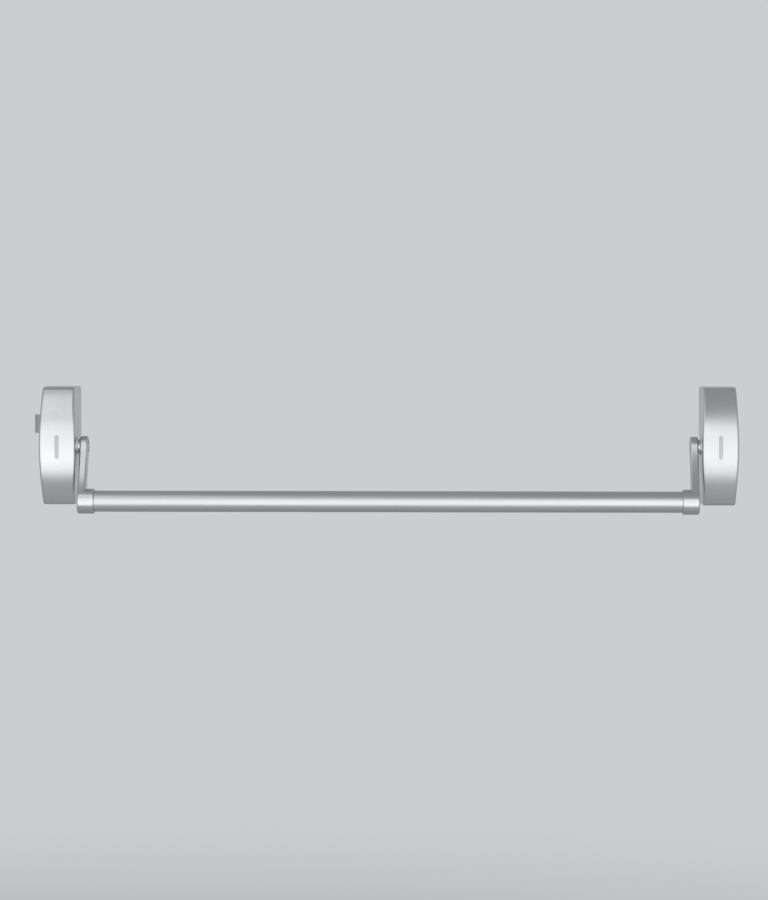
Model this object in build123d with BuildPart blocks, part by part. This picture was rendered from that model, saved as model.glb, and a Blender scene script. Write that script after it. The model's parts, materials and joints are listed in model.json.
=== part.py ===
from build123d import *
import os
from math import cos, hypot, radians, sin, sqrt

# Panic exit bar for a single door leaf, surface mounted, with a side latch.
#
# Frame: X runs along the bar, towards the door's hinges. Y runs into the door, so everything outside the
# door has negative Y. Z is up. The origin is on the door's face, at the centre of the latch-side housing, at
# the height of the pivot. "Depth" below means the distance out from the door's face, so y = -depth.
#
# Pushing the bar turns both arms about one X axis. A finger on the latch-side shaft lifts a plate, and a
# sloping edge in that plate draws the latch bolt in along X.

# ---- driving dimensions, in millimetres and degrees ----
SPAN = 752.0  # between the centres of the two housings
HOUSING_WIDTH = 42.0
HOUSING_HEIGHT = 134.0
HOUSING_DEPTH = 62.0
HOUSING_BOW = 22.0  # how far the front bulges beyond the flat top and bottom walls
WALL = 2.5
PIVOT_DEPTH = 38.0
ARM_LENGTH = 68.0
ARM_REST_ANGLE = 26.0  # outwards from straight down
BAR_TRAVEL = 25.0
BAR_RADIUS = 12.0
TUBE_WALL = 2.0

# ---- housing ----
HALF_WIDTH = HOUSING_WIDTH / 2
HALF_HEIGHT = HOUSING_HEIGHT / 2
FRONT_MID_INSET = 0.4  # the sides lean in by this at mid height, at full depth
FRONT_END_INSET = 4.2  # and by this at the top and bottom
FRONT_RADIUS = (HALF_HEIGHT**2 + HOUSING_BOW**2) / (2 * HOUSING_BOW)
FRONT_CENTRE_DEPTH = HOUSING_DEPTH - FRONT_RADIUS
CORNER_RADIUS = 7.0
EDGE_RADIUS = 2.6
MARK_WIDTH, MARK_HEIGHT, MARK_DEPTH = 4.6, 27.0, 0.7
INLAY_THICKNESS = 0.5

# ---- base plate ----
PLATE = 3.0
PLATE_HALF_WIDTH = 18.1
PLATE_HALF_HEIGHT = 64.1
FIX_SPACING_X, FIX_SPACING_Z = 20.0, 104.0
FIX_HOLE_RADIUS = 2.75
FIX_BOSS_RADIUS, FIX_BOSS_HEIGHT = 6.2, 1.5
LUG_X = (-7.0, 7.0)
LUG_HEIGHT, LUG_REACH = 6.2, 17.0
COVER_SCREW_DEPTH = 11.0
COVER_SCREW_RADIUS = 2.0
EAR_RADIUS = 10.0
OUTER_EAR = (15.5, 20.2)  # from and to in X, on the bar's side
INNER_EAR = (-16.2, -12.4)
SHELF_X, SHELF_REACH, SHELF_Z = (-1.0, 9.0), 24.0, (-18.0, -13.2)

# ---- shaft, bushes, sleeves and clip ----
SHAFT_RADIUS = 5.5
SQUARE = 8.0
TAIL_RADIUS = 4.0
TAIL_X = (-18.0, -10.8)
JOURNAL_X = 15.3
SQUARE_END_X = 28.7
RUNNING = 0.03  # radial clearance of a running fit
OUTER_BUSH_RADIUS, OUTER_FLANGE = 7.0, (20.2, 21.7)
INNER_BUSH_RADIUS, INNER_FLANGE = 5.5, (-12.4, -11.0)
CLIP_X = (-17.4, -16.4)
CLIP_GROOVE_RADIUS = 3.0
SLEEVE_RADIUS = 7.0
INNER_SLEEVE, OUTER_SLEEVE, ARM_SPACER = (-10.8, -0.1), (8.1, 15.4), (21.8, 24.4)

# ---- cam ----
CAM_HUB_RADIUS = 10.4
CAM_HUB = (0.0, 8.0)
FINGER = (1.0, 7.0)
NOSE_RADIUS = 3.0
FINGER_LENGTH = 30.5
CAM_REST_ANGLE = -BAR_TRAVEL / 2  # the finger points straight at the door at half travel

# ---- return spring ----
SPRING_RADIUS = 8.4
SPRING_WIRE = 0.75  # radius
SPRING_LEG_WIRE = 0.72  # the straight ends are drawn a hair thinner
SPRING_LAP = 0.5  # how far a straight end runs into the end of the coil
SPRING_PITCH = 2.1
SPRING_START_X = -9.4
SPRING_LEG = 2.5  # how far each straight end goes into the ear and the cam

# ---- stop buffer ----
BUFFER_X, BUFFER_DEPTH = 4.0, 18.0
BUFFER_RADIUS, BUFFER_STEM_RADIUS = 3.5, 1.5
BUFFER_TOP = -8.25

# ---- arm ----
ARM_X = (24.5, 33.5)
SOCKET_END_X = 43.5
SOCKET_FLOOR_X = 29.5
SOCKET_RADIUS = 14.2
SOCKET_BORE = BAR_RADIUS + 0.05
EYE_RADIUS = 11.2
FLANK_RADIUS = 120.0  # the hollow flanks of the arm
ARM_EDGE = 2.0
SET_SCREW_X, SET_SCREW_RADIUS = 37.0, 2.5
SET_BOSS_RADIUS, SET_BOSS_REACH = 4.6, 16.2
ARM_SCREW_RADIUS = 2.5
RECESS_RADIUS, RECESS_FLOOR_X = 6.0, 29.7

# ---- lifter plate ----
LIFT = 2 * FINGER_LENGTH * sin(radians(BAR_TRAVEL / 2))
LIFTER_DEPTH = (6.0, 9.0)
LIFTER_HALF_WIDTH = 12.0
LIFTER_Z = (-12.6, 28.0)
RIB_X = (9.3, 11.8)
RIB_REACH = 5.9
LIFTER_STOP_Z = LIFTER_Z[1] + LIFT + 0.4

# ---- latch ----
LATCH_TRAVEL = 10.5
LATCH_X = (-31.0, -1.5)
LATCH_Z = (13.5, 34.5)
LATCH_DEPTH = (10.5, 23.5)
LATCH_TIP_DEPTH = 12.8  # the locking face is at the back, and the front slopes down to this
PIN_X, PIN_Z = -6.0, 19.0
PIN_RADIUS = 2.0
ROLLER_RADIUS = 3.5
ROLLER_DEPTH = (6.1, 9.9)
GUIDE_X, GUIDE_Z, GUIDE_REACH = (-20.3, 17.5), (10.5, 37.5), 26.2
LATCH_SPRING_DEPTH, LATCH_SPRING_Z = 17.0, 29.0
LATCH_SPRING_BORE, LATCH_SPRING_BORE_X = 4.0, -14.0
LATCH_SPRING_END_X = 14.7
GUIDE_SCREW_X, GUIDE_SCREW_Z = (-15.0, 15.0), 24.0

MIDDLE = Plane.YZ.offset(SPAN / 2)  # the two ends mirror each other about this plane
BAR_DEPTH = PIVOT_DEPTH + ARM_LENGTH * sin(radians(ARM_REST_ANGLE))
BAR_Z = -ARM_LENGTH * cos(radians(ARM_REST_ANGLE))


# ---------------------------------------------------------------- planes and helpers
def front_plane(depth):
    """Parallel to the door, this far out from it, facing away from it. Local x is X and local y is Z."""
    return Plane.XZ.offset(depth)


def pivot_plane(x, angle=0.0):
    """Across the shaft at this X. Local x points at the door, turned by this angle about +X."""
    turn = radians(angle)
    return Plane(origin=(x, -PIVOT_DEPTH, 0), x_dir=(0, cos(turn), sin(turn)), z_dir=(1, 0, 0))


def arm_plane(x):
    """Across the arm at this X. The origin is on the pivot and local x points down the arm to the bar."""
    lean = radians(ARM_REST_ANGLE)
    return Plane(origin=(x, -PIVOT_DEPTH, 0), x_dir=(0, -sin(lean), -cos(lean)), z_dir=(1, 0, 0))


def bar_plane(x):
    """Across the bar at this X, centred on the bar. Local x points at the door and local y is Z."""
    return Plane(origin=(x, -BAR_DEPTH, BAR_Z), x_dir=(0, 1, 0), z_dir=(1, 0, 0))


def set_screw_plane(reach):
    """Faces the door, on the set screw's axis, this far behind the middle of the bar."""
    return Plane(origin=(SET_SCREW_X, reach - BAR_DEPTH, BAR_Z), x_dir=(1, 0, 0), z_dir=(0, 1, 0))


def block(x_range, depth_range, z_range, mode=Mode.ADD):
    """A box in the current part, given by its ranges in X, depth and Z."""
    size = [b - a for a, b in (x_range, depth_range, z_range)]
    middle = [(a + b) / 2 for a, b in (x_range, depth_range, z_range)]
    with Locations((middle[0], -middle[1], middle[2])):
        Box(*size, mode=mode)


def disc(plane_at, x_range, radius, mode=Mode.ADD):
    """A cylinder along X in the current part, on the axis of the plane that plane_at makes."""
    with Locations(plane_at(x_range[0])):
        Cylinder(radius, x_range[1] - x_range[0], align=(Align.CENTER, Align.CENTER, Align.MIN), mode=mode)


def save(part, name):
    """Labels a finished piece and writes its STEP file."""
    part.label = name
    export_step(part, f"parts/{name}.step")


def save_pair(part, name):
    """Writes the latch-side piece, and its mirror image at the hinge side."""
    save(part, f"{name}_latch_side")
    save(mirror(part, about=MIDDLE), f"{name}_hinge_side")


# ---------------------------------------------------------------- housings
def housing_form(inset, corner, edge):
    """The solid form of a housing: flat top and bottom, bowed front, sides that lean in to the corners."""
    half_height = HALF_HEIGHT - inset
    end_depth = FRONT_CENTRE_DEPTH + sqrt((FRONT_RADIUS - inset) ** 2 - half_height**2)
    back = HALF_WIDTH - inset
    mid = back - FRONT_MID_INSET
    end = back - FRONT_END_INSET
    with BuildPart() as form:
        with BuildSketch(Plane.YZ.offset(-HALF_WIDTH)):
            with BuildLine():
                low_end, high_end = (-end_depth, -half_height), (-end_depth, half_height)
                Polyline(low_end, (0, -half_height), (0, half_height), high_end)
                ThreePointArc(high_end, (inset - HOUSING_DEPTH, 0), low_end)
            make_face()
        extrude(amount=HOUSING_WIDTH)
        with BuildSketch(front_plane(0)):
            Rectangle(2 * back, HOUSING_HEIGHT)
        with BuildSketch(front_plane(HOUSING_DEPTH)):
            with BuildLine():
                ThreePointArc((end, -HALF_HEIGHT), (mid, 0), (end, HALF_HEIGHT))
                Line((end, HALF_HEIGHT), (-end, HALF_HEIGHT))
                ThreePointArc((-end, HALF_HEIGHT), (-mid, 0), (-end, -HALF_HEIGHT))
                Line((-end, -HALF_HEIGHT), (end, -HALF_HEIGHT))
            make_face()
        loft(mode=Mode.INTERSECT)
        front = form.faces().sort_by(Axis.Y)[0]
        fillet(front.edges().filter_by(Axis.X), corner)
        sides = form.faces().sort_by(Axis.X)
        rims = sides[0].edges() + sides[-1].edges()
        fillet([rim for rim in rims if rim.center().Y < -1], edge)
    return form.part


def ear_outline(radius):
    """Sketches a bearing ear: straight out from the door, round about the pivot."""
    with Locations((-PIVOT_DEPTH / 2, 0)):
        Rectangle(PIVOT_DEPTH, 2 * radius)
    with Locations((-PIVOT_DEPTH, 0)):
        Circle(radius)


def pill_on_front(shrink, bottom, top):
    """A pill-shaped layer that follows the bowed front, from one depth below the surface up to another."""
    with BuildPart() as pill:
        with BuildSketch(Plane.YZ.offset(-MARK_WIDTH)):
            with Locations((-FRONT_CENTRE_DEPTH, 0)):
                Circle(FRONT_RADIUS - top)
                Circle(FRONT_RADIUS - bottom, mode=Mode.SUBTRACT)
        extrude(amount=2 * MARK_WIDTH)
        with BuildSketch(front_plane(HOUSING_DEPTH - 4)):
            SlotOverall(MARK_HEIGHT - 2 * shrink, MARK_WIDTH - 2 * shrink, rotation=90)
        extrude(amount=8, mode=Mode.INTERSECT)
    return pill.part


def make_cover(with_latch):
    """The thin shell over one end. A slot in its side wall, open at the back, slides over the bearing ear."""
    outside = housing_form(0, CORNER_RADIUS, EDGE_RADIUS)
    inside = housing_form(WALL, CORNER_RADIUS - WALL, 1.0)
    mark = pill_on_front(0, MARK_DEPTH, -1)
    with BuildPart() as cover:
        add(outside)
        add(inside, mode=Mode.SUBTRACT)
        add(mark, mode=Mode.SUBTRACT)
        with BuildSketch(Plane.YZ.offset(HALF_WIDTH - 2 * WALL)):
            ear_outline(EAR_RADIUS + 0.4)
        extrude(amount=3 * WALL, mode=Mode.SUBTRACT)
        if with_latch:
            slot_z = (GUIDE_Z[0] - 0.3, GUIDE_Z[1] + 0.3)
            block((-HALF_WIDTH - 1, 2 * WALL - HALF_WIDTH), (-1, GUIDE_REACH + 0.3), slot_z, Mode.SUBTRACT)
        for way in (1, -1):
            with Locations(Plane((0, -COVER_SCREW_DEPTH, way * HALF_HEIGHT), z_dir=(0, 0, way))):
                CounterSinkHole(radius=COVER_SCREW_RADIUS + 0.2, counter_sink_radius=4.0, depth=2 * WALL)
    return cover.part


def make_base(with_latch):
    """The casting on the door: bearing ears, lugs for the cover screws, buffer shelf and fixing holes."""
    with BuildPart() as base:
        with BuildSketch(front_plane(0)):
            RectangleRounded(2 * PLATE_HALF_WIDTH, 2 * PLATE_HALF_HEIGHT, 2.5)
        extrude(amount=PLATE)
        with BuildSketch(front_plane(PLATE)):
            with GridLocations(FIX_SPACING_X, FIX_SPACING_Z, 2, 2):
                Circle(FIX_BOSS_RADIUS)
        extrude(amount=FIX_BOSS_HEIGHT)
        block(LUG_X, (PLATE - 1, LUG_REACH), (PLATE_HALF_HEIGHT - LUG_HEIGHT, PLATE_HALF_HEIGHT))
        block(LUG_X, (PLATE - 1, LUG_REACH), (-PLATE_HALF_HEIGHT, LUG_HEIGHT - PLATE_HALF_HEIGHT))
        block(SHELF_X, (PLATE - 1, SHELF_REACH), SHELF_Z)
        for x_from, x_to in (OUTER_EAR, INNER_EAR):
            with BuildSketch(Plane.YZ.offset(x_from)):
                ear_outline(EAR_RADIUS)
            extrude(amount=x_to - x_from)
        disc(pivot_plane, OUTER_EAR, OUTER_BUSH_RADIUS, Mode.SUBTRACT)
        disc(pivot_plane, INNER_EAR, INNER_BUSH_RADIUS, Mode.SUBTRACT)
        with Locations(Plane((INNER_EAR[1], -PIVOT_DEPTH, SPRING_RADIUS), z_dir=(1, 0, 0))):
            Hole(SPRING_WIRE + 0.1, depth=SPRING_LEG + 0.3)
        if with_latch:
            for low, high in (RIB_X, (-RIB_X[1], -RIB_X[0])):
                block((low, high), (PLATE - 1, RIB_REACH), (SHELF_Z[0], LIFTER_STOP_Z + 3))
            block((-RIB_X[1], RIB_X[1]), (PLATE - 1, LIFTER_DEPTH[1] + 1), (LIFTER_STOP_Z, LIFTER_STOP_Z + 3))
            with Locations(*[Plane((x, 0, GUIDE_SCREW_Z), z_dir=(0, 1, 0)) for x in GUIDE_SCREW_X]):
                CounterSinkHole(radius=1.6, counter_sink_radius=2.9, depth=PLATE)
        with BuildSketch(front_plane(0)):
            with GridLocations(FIX_SPACING_X, FIX_SPACING_Z, 2, 2):
                Circle(FIX_HOLE_RADIUS)
        extrude(amount=PLATE + FIX_BOSS_HEIGHT, mode=Mode.SUBTRACT)
        with Locations(Plane.XY.offset(PLATE_HALF_HEIGHT)):
            with Locations((0, -COVER_SCREW_DEPTH)):
                Hole(COVER_SCREW_RADIUS, depth=LUG_HEIGHT)
        with Locations(Plane((0, 0, -PLATE_HALF_HEIGHT), x_dir=(1, 0, 0), z_dir=(0, 0, -1))):
            with Locations((0, COVER_SCREW_DEPTH)):
                Hole(COVER_SCREW_RADIUS, depth=LUG_HEIGHT)
        with Locations((BUFFER_X, -BUFFER_DEPTH, (SHELF_Z[0] + SHELF_Z[1]) / 2)):
            Cylinder(BUFFER_STEM_RADIUS, SHELF_Z[1] - SHELF_Z[0], mode=Mode.SUBTRACT)
    return base.part


def countersunk_screw(plane, radius, head_radius, length):
    """A countersunk screw whose head is flush with the plane and whose shank goes in behind it."""
    with BuildPart() as screw:
        with BuildSketch(plane.offset(-0.1)):
            Circle(head_radius)
        extrude(amount=radius - head_radius, taper=45)
        with BuildSketch(plane.offset(-0.1)):
            Circle(radius)
        extrude(amount=-length)
        with BuildSketch(plane.offset(-0.1)):
            RegularPolygon(0.62 * radius, 6)
        extrude(amount=-0.8 * radius, mode=Mode.SUBTRACT)
    return screw.part


def cap_screw(plane, radius, head_radius, head_height, length):
    """A hexagon socket screw whose head stands on the plane."""
    with BuildPart() as screw:
        with BuildSketch(plane):
            Circle(head_radius)
        extrude(amount=head_height)
        chamfer(screw.edges().sort_by(Axis((0, 0, 0), plane.z_dir))[-1], 0.3)
        with BuildSketch(plane):
            Circle(radius)
        extrude(amount=-length)
        with BuildSketch(plane.offset(head_height)):
            RegularPolygon(0.55 * head_radius, 6)
        extrude(amount=-0.6 * head_height, mode=Mode.SUBTRACT)
    return screw.part


# ---------------------------------------------------------------- shaft line
def square_section():
    """Sketches the shaft's square, whose corners are left round by the bar it is cut from."""
    Rectangle(SQUARE, SQUARE)
    Circle(SHAFT_RADIUS - 0.1, mode=Mode.INTERSECT)


def make_shaft():
    """Journal in the outer bush, square for the cam and the arm, and a thin tail in the inner bush."""
    with BuildPart() as shaft:
        with BuildSketch(pivot_plane(TAIL_X[1], CAM_REST_ANGLE)):
            square_section()
        extrude(amount=SQUARE_END_X - TAIL_X[1])
        disc(pivot_plane, (JOURNAL_X, ARM_X[0] - 0.05), SHAFT_RADIUS)
        disc(pivot_plane, TAIL_X, TAIL_RADIUS)
        with BuildSketch(pivot_plane(CLIP_X[0] - 0.05)):
            Circle(TAIL_RADIUS + 1)
            Circle(CLIP_GROOVE_RADIUS, mode=Mode.SUBTRACT)
        extrude(amount=CLIP_X[1] - CLIP_X[0] + 0.1, mode=Mode.SUBTRACT)
        chamfer(shaft.faces().sort_by(Axis.X)[0].edges(), 0.4)
        disc(pivot_plane, (SQUARE_END_X - 14, SQUARE_END_X), ARM_SCREW_RADIUS, Mode.SUBTRACT)
    return shaft.part


def make_clip():
    """An open retaining ring that snaps into the groove in the shaft's tail."""
    with BuildPart() as clip:
        with BuildSketch(pivot_plane(CLIP_X[0])):
            Circle(6.4)
            Circle(CLIP_GROOVE_RADIUS + 0.03, mode=Mode.SUBTRACT)
            with Locations((5, 0)):
                Rectangle(10, 4.4, mode=Mode.SUBTRACT)
            with Locations((-1.5, 4.2), (-1.5, -4.2)):
                Circle(1.0, mode=Mode.SUBTRACT)
        extrude(amount=CLIP_X[1] - CLIP_X[0])
    return clip.part


def make_ring(x_range, outer, inner, edge=0.3):
    """A plain ring on the shaft, with its outer edges broken."""
    with BuildPart() as ring:
        disc(pivot_plane, x_range, outer)
        chamfer(ring.edges().filter_by(GeomType.CIRCLE), edge)
        disc(pivot_plane, x_range, inner, Mode.SUBTRACT)
    return ring.part


def make_bush(ear, radius, bore, flange, flange_radius):
    """A plain bearing that sits in an ear, with a flange against one face of it."""
    with BuildPart() as bush:
        disc(pivot_plane, ear, radius)
        disc(pivot_plane, flange, flange_radius)
        disc(pivot_plane, (min(ear[0], flange[0]), max(ear[1], flange[1])), bore, Mode.SUBTRACT)
    return bush.part


def make_cam():
    """The lever on the shaft's square. Its finger is the rest stop, and at the latch it works the lifter."""
    with BuildPart() as cam:
        with BuildSketch(pivot_plane(CAM_HUB[0], CAM_REST_ANGLE)):
            Circle(CAM_HUB_RADIUS)
        extrude(amount=CAM_HUB[1] - CAM_HUB[0])
        with BuildSketch(pivot_plane(FINGER[0], CAM_REST_ANGLE)):
            with BuildLine():
                tip = NOSE_RADIUS - 1
                Polyline((0, -6), (FINGER_LENGTH, -tip), (FINGER_LENGTH, tip), (0, 6), close=True)
            make_face()
            with Locations((FINGER_LENGTH, 0)):
                Circle(NOSE_RADIUS)
        extrude(amount=FINGER[1] - FINGER[0])
        with BuildSketch(pivot_plane(CAM_HUB[0], CAM_REST_ANGLE)):
            Rectangle(SQUARE + 0.1, SQUARE + 0.1)
            with Locations((0, -SPRING_RADIUS)):
                Circle(SPRING_WIRE + 0.1)
        extrude(amount=CAM_HUB[1] - CAM_HUB[0], mode=Mode.SUBTRACT)
        for x_from in (CAM_HUB[0], CAM_HUB[1]):
            rims = cam.edges().filter_by(GeomType.CIRCLE).filter_by_position(Axis.X, x_from, x_from)
            chamfer(rims.sort_by(SortBy.RADIUS)[-1], 0.4)
    return cam.part


def make_return_spring():
    """A torsion spring: one straight end sits in the top of the inner ear, the other in the foot of the cam."""
    turns = 2 + (180 + CAM_REST_ANGLE) / 360
    length = turns * SPRING_PITCH
    with BuildPart() as spring:
        with BuildLine():
            start = (SPRING_START_X, -PIVOT_DEPTH, 0)
            coil = Helix(SPRING_PITCH, length, SPRING_RADIUS, start, (1, 0, 0))
        with BuildSketch(Plane(coil @ 0, z_dir=coil % 0)):
            Circle(SPRING_WIRE)
        sweep()
        for end, way, tip_x in ((0, -1, INNER_EAR[1] - SPRING_LEG), (1, 1, CAM_HUB[0] + SPRING_LEG)):
            bend = coil @ end
            with Locations(Plane((tip_x, bend.Y, bend.Z), z_dir=(-way, 0, 0))):
                leg = abs(tip_x - bend.X) + SPRING_LAP
                Cylinder(SPRING_LEG_WIRE, leg, align=(Align.CENTER, Align.CENTER, Align.MIN))
    return spring.part


def make_buffer():
    """The rubber rest stop: a stud in the shelf with a rounded pad that the finger comes down on."""
    with BuildPart() as buffer:
        with Locations((BUFFER_X, -BUFFER_DEPTH, SHELF_Z[1])):
            Cylinder(BUFFER_RADIUS, BUFFER_TOP - SHELF_Z[1], align=(Align.CENTER, Align.CENTER, Align.MIN))
            fillet(buffer.faces().sort_by(Axis.Z)[-1].edges(), 1.0)
            Cylinder(BUFFER_STEM_RADIUS, SHELF_Z[1] - SHELF_Z[0], align=(Align.CENTER, Align.CENTER, Align.MAX))
    return buffer.part


# ---------------------------------------------------------------- arms and bar
def flank_tangent(side):
    """Where one hollow flank of the arm leaves the eye and meets the socket, and the middle of that arc."""
    to_eye = FLANK_RADIUS + EYE_RADIUS
    to_socket = FLANK_RADIUS + SOCKET_RADIUS
    along = (ARM_LENGTH**2 + to_eye**2 - to_socket**2) / (2 * ARM_LENGTH)
    across = side * sqrt(to_eye**2 - along**2)
    leave = (along * EYE_RADIUS / to_eye, across * EYE_RADIUS / to_eye)
    meet_share = SOCKET_RADIUS / to_socket
    meet = (ARM_LENGTH + (along - ARM_LENGTH) * meet_share, across * meet_share)
    return leave, (along, across - side * FLANK_RADIUS), meet


def make_arm():
    """The lever from the shaft to the bar: an eye with a square hole, a waisted blade and a socket."""
    left_leave, left_middle, left_meet = flank_tangent(1)
    right_leave, right_middle, right_meet = flank_tangent(-1)
    thickness = ARM_X[1] - ARM_X[0]
    with BuildPart() as arm:
        with BuildSketch(arm_plane(ARM_X[0])):
            Circle(EYE_RADIUS)
            with Locations((ARM_LENGTH, 0)):
                Circle(SOCKET_RADIUS)
            with BuildLine():
                ThreePointArc(left_leave, left_middle, left_meet)
                Line(left_meet, right_meet)
                ThreePointArc(right_meet, right_middle, right_leave)
                Line(right_leave, left_leave)
            make_face()
        extrude(amount=thickness)
        fillet(arm.faces().sort_by(Axis.X)[0].edges(), ARM_EDGE)
        fillet(arm.faces().sort_by(Axis.X)[-1].edges(), ARM_EDGE)
        disc(bar_plane, (ARM_X[0] + ARM_EDGE, SOCKET_END_X), SOCKET_RADIUS)
        fillet(arm.faces().sort_by(Axis.X)[-1].edges(), 1.0)
        with BuildSketch(set_screw_plane(0)):
            Circle(SET_BOSS_RADIUS)
        extrude(amount=SET_BOSS_REACH)
        disc(bar_plane, (SOCKET_FLOOR_X, SOCKET_END_X), SOCKET_BORE, Mode.SUBTRACT)
        with BuildSketch(set_screw_plane(0)):
            Circle(SET_SCREW_RADIUS)
        extrude(amount=SET_BOSS_REACH + 1, mode=Mode.SUBTRACT)
        with BuildSketch(pivot_plane(ARM_X[0], CAM_REST_ANGLE)):
            Rectangle(SQUARE + 0.1, SQUARE + 0.1)
        extrude(amount=thickness, mode=Mode.SUBTRACT)
        disc(pivot_plane, (RECESS_FLOOR_X, ARM_X[1]), RECESS_RADIUS, Mode.SUBTRACT)
    return arm.part


def make_set_screw():
    """A headless screw in the back of the socket, which pins the bar."""
    with BuildPart() as screw:
        with BuildSketch(set_screw_plane(BAR_RADIUS)):
            Circle(SET_SCREW_RADIUS)
        extrude(amount=SET_BOSS_REACH - BAR_RADIUS - 0.5)
        chamfer(screw.faces().sort_by(Axis.Y)[0].edges(), 0.5)
        with BuildSketch(Plane(screw.faces().sort_by(Axis.Y)[-1])):
            RegularPolygon(1.45, 6)
        extrude(amount=-2.4, mode=Mode.SUBTRACT)
    return screw.part


def make_bar():
    """The round tube that is pushed, cut to length between the two sockets."""
    from_x = SOCKET_FLOOR_X + 0.1
    to_x = SPAN - from_x
    with BuildPart() as bar:
        disc(bar_plane, (from_x, to_x), BAR_RADIUS)
        chamfer(bar.edges().filter_by(GeomType.CIRCLE), 0.4)
        disc(bar_plane, (from_x, to_x), BAR_RADIUS - TUBE_WALL, Mode.SUBTRACT)
    return bar.part


def make_bar_plug():
    """A cup-shaped plug that stiffens the end of the tube where the set screw presses on it."""
    from_x = SOCKET_FLOOR_X + 0.2
    with BuildPart() as plug:
        disc(bar_plane, (from_x, from_x + 14), BAR_RADIUS - TUBE_WALL - 0.05)
        chamfer(plug.faces().sort_by(Axis.X)[-1].edges(), 0.8)
        disc(bar_plane, (from_x + 3, from_x + 14), BAR_RADIUS - TUBE_WALL - 3, Mode.SUBTRACT)
    return plug.part


# ---------------------------------------------------------------- lifter and latch
def make_lifter():
    """The plate that turns the finger's lift into the latch's pull, by an edge along the roller's path."""
    run = hypot(LATCH_TRAVEL, LIFT)
    along = (LATCH_TRAVEL / run, -LIFT / run)
    clear = ROLLER_RADIUS + 0.1
    edge_x = PIN_X - clear * LIFT / run  # a point on the sloping edge, with the roller at rest
    edge_z = PIN_Z - clear * LATCH_TRAVEL / run
    left = PIN_X - ROLLER_RADIUS - 0.3
    right = PIN_X + LATCH_TRAVEL + ROLLER_RADIUS + 0.3
    top = PIN_Z + ROLLER_RADIUS + 0.3
    bottom = PIN_Z - LIFT - ROLLER_RADIUS - 0.3
    slope_top = edge_z + (left - edge_x) * along[1] / along[0]
    slope_foot = edge_x + (bottom - edge_z) * along[0] / along[1]
    finger_z = FINGER_LENGTH * sin(radians(CAM_REST_ANGLE))
    with BuildPart() as lifter:
        with BuildSketch(front_plane(LIFTER_DEPTH[0])):
            with Locations((0, (LIFTER_Z[0] + LIFTER_Z[1]) / 2)):
                RectangleRounded(2 * LIFTER_HALF_WIDTH, LIFTER_Z[1] - LIFTER_Z[0], 1.5)
            with Locations(((FINGER[0] + FINGER[1]) / 2, finger_z)):
                Rectangle(FINGER[1] - FINGER[0] + 1.2, 2 * NOSE_RADIUS + 0.3, mode=Mode.SUBTRACT)
        extrude(amount=LIFTER_DEPTH[1] - LIFTER_DEPTH[0])
        with BuildSketch(front_plane(LIFTER_DEPTH[0])):
            with BuildLine():
                corners = [(left, top), (left, slope_top), (slope_foot, bottom), (right, bottom), (right, top)]
                Polyline(*corners, close=True)
            make_face()
        extrude(amount=LIFTER_DEPTH[1] - LIFTER_DEPTH[0], mode=Mode.SUBTRACT)
    return lifter.part


def make_guide():
    """The case the latch slides in. It bridges the lifter on two feet, and its nose fills the cover's notch."""
    passage = LIFTER_HALF_WIDTH + 0.3
    channel_z = (LATCH_Z[0] - 0.1, LATCH_Z[1] + 0.1)
    channel_depth = (LATCH_DEPTH[0] - 0.1, LATCH_DEPTH[1] + 0.1)
    with BuildPart() as guide:
        block(GUIDE_X, (PLATE, GUIDE_REACH), GUIDE_Z)
        fillet(guide.faces().sort_by(Axis.Y)[0].edges().filter_by(Axis.X), 1.5)
        block((-passage, passage), (0, LIFTER_DEPTH[1] + 0.2), (0, 50), Mode.SUBTRACT)
        block((-passage, passage), (PLATE, LATCH_DEPTH[0]), channel_z, Mode.SUBTRACT)
        block((GUIDE_X[0] - 1, LATCH_SPRING_END_X), channel_depth, channel_z, Mode.SUBTRACT)
        with Locations(*[Plane((x, -PLATE, GUIDE_SCREW_Z), z_dir=(0, 1, 0)) for x in GUIDE_SCREW_X]):
            Cylinder(1.5, 2 * 6, mode=Mode.SUBTRACT)
    return guide.part


def make_latch():
    """The sprung latch bolt: flat at the back, where it locks, sloping at the front to ride over the strike."""
    tip, rear = LATCH_X
    slope_end = tip + 10.0
    with BuildPart() as latch:
        with BuildSketch(Plane.XY.offset(LATCH_Z[0])):
            with BuildLine():
                back, front = -LATCH_DEPTH[0], -LATCH_DEPTH[1]
                nose = [(slope_end, front), (tip, -LATCH_TIP_DEPTH), (tip, back)]
                Polyline(*nose, (rear, back), (rear, front), close=True)
            make_face()
        extrude(amount=LATCH_Z[1] - LATCH_Z[0])
        fillet(latch.edges().filter_by(Axis.Z).sort_by(Axis.X)[0:2], 0.8)
        with Locations(Plane((rear, -LATCH_SPRING_DEPTH, LATCH_SPRING_Z), z_dir=(1, 0, 0))):
            Hole(LATCH_SPRING_BORE, depth=rear - LATCH_SPRING_BORE_X)
        with Locations(Plane((PIN_X, -LATCH_DEPTH[0], PIN_Z), z_dir=(0, 1, 0))):
            Hole(PIN_RADIUS, depth=9)
    return latch.part


def make_pin():
    """The headed pin that carries the roller under the latch."""
    with BuildPart() as pin:
        with Locations(Plane((PIN_X, -ROLLER_DEPTH[0] + 0.1, PIN_Z), z_dir=(0, -1, 0))):
            Cylinder(PIN_RADIUS, 13, align=(Align.CENTER, Align.CENTER, Align.MIN))
            Cylinder(2.9, 1, align=(Align.CENTER, Align.CENTER, Align.MAX))
        chamfer(pin.faces().sort_by(Axis.Y)[-1].edges(), 0.3)
    return pin.part


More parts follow.
